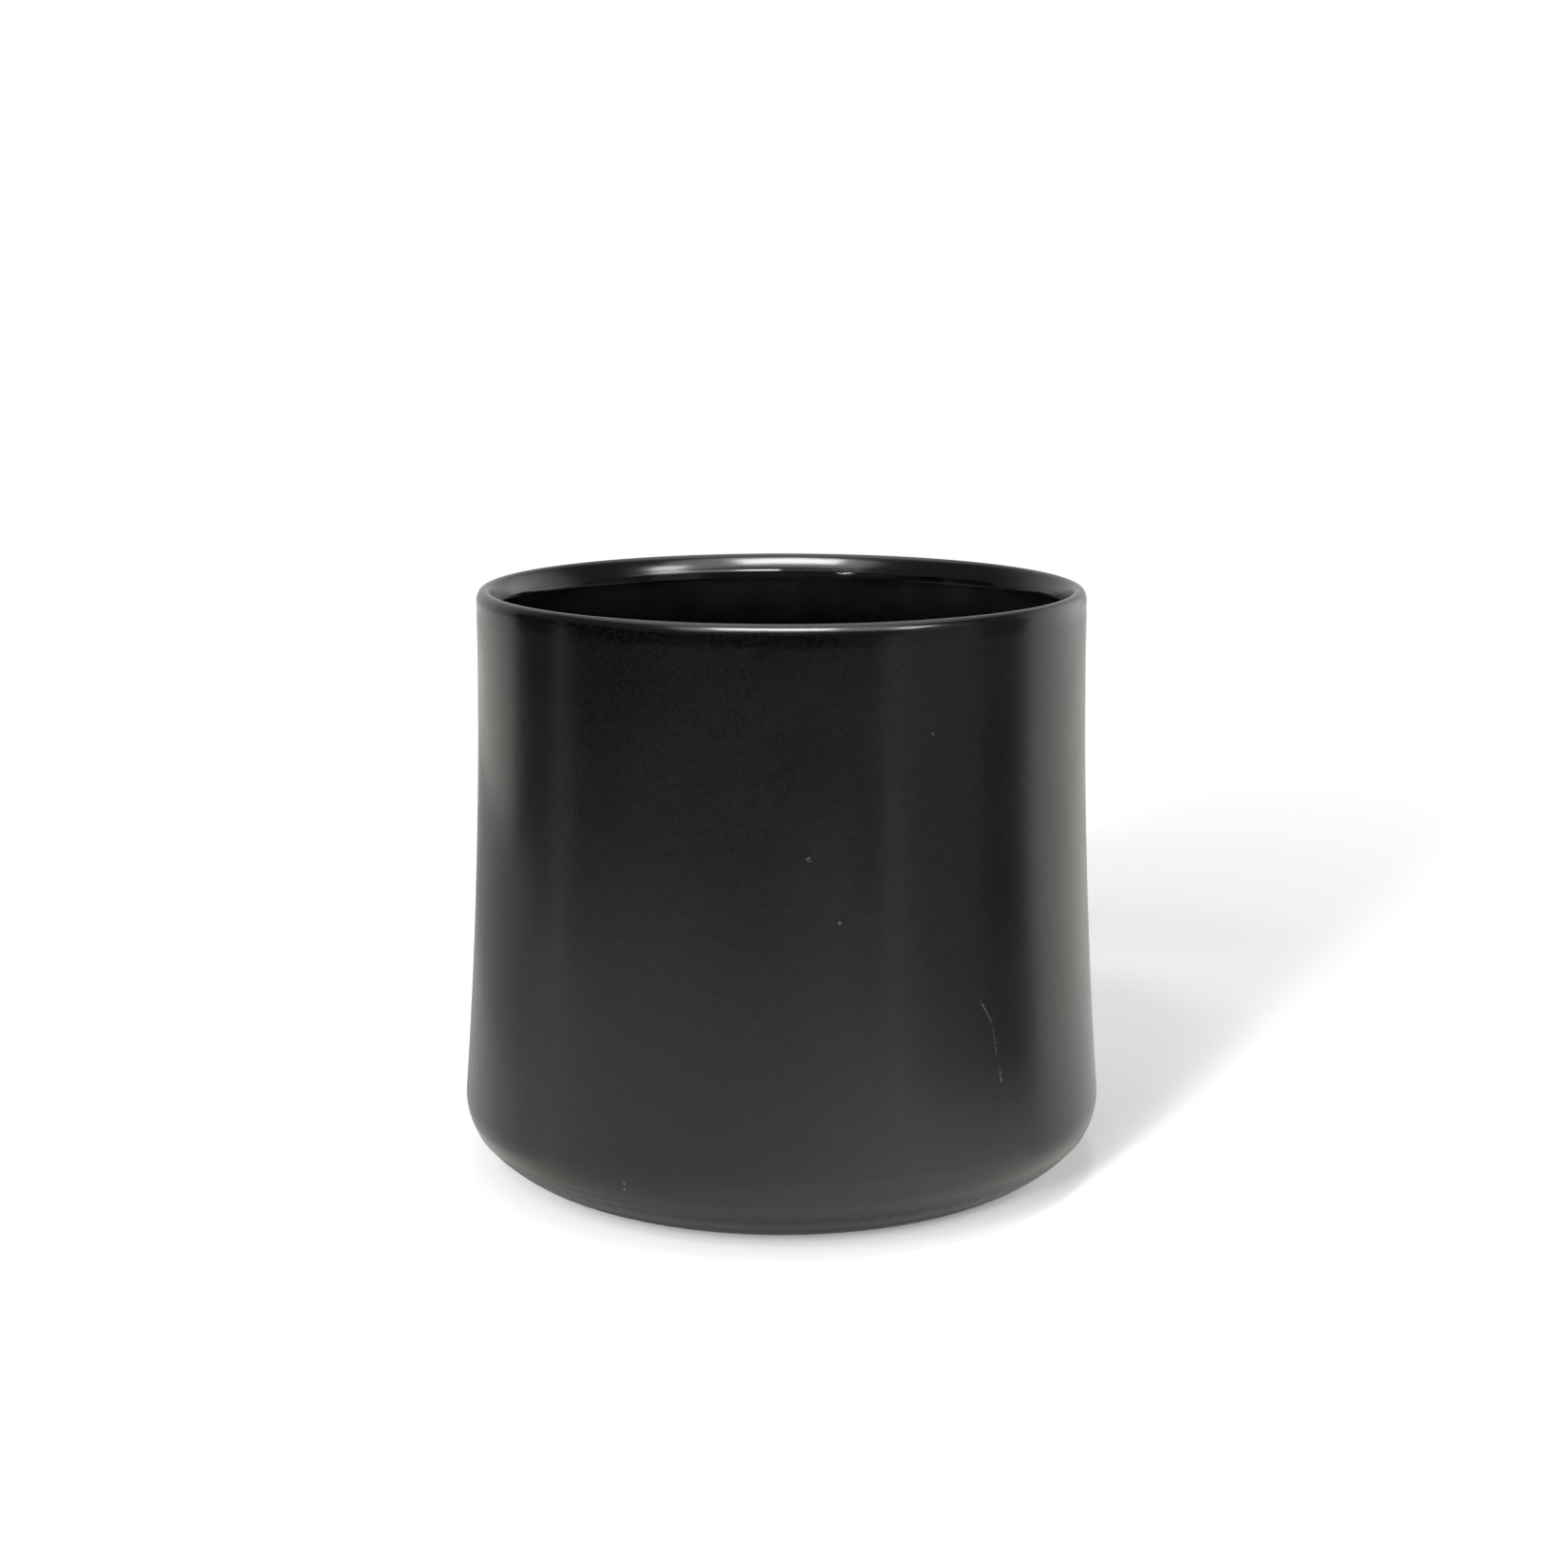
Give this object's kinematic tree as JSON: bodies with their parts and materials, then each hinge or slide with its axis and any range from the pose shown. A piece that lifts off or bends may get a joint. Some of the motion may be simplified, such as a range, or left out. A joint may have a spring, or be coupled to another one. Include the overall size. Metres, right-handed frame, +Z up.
{
  "type": "empty candle jar",
  "caption": "Round glass candle vessel with a gently flared foot, a rounded lip, an open mouth and a satin black sprayed coat.",
  "frame": {"origin": "on the jar's axis, at the level of the standing ring", "axes": "+Z up along the jar's axis, out of the mouth; X and Y are alike, because the jar is a body of revolution"},
  "size_m": [0.0964, 0.0964, 0.0873],
  "materials": {
    "glass": "clear, glossy, with a faint green tint",
    "black_coat": "satin black sprayed lacquer, lightly dusted and rubbed",
    "base_coat": "satin black sprayed lacquer on the underside"
  },
  "bodies": {
    "root": {"glass_vessel": "glass", "wall_coat": "black_coat", "base_coat": "base_coat"}
  },
  "joints": []
}
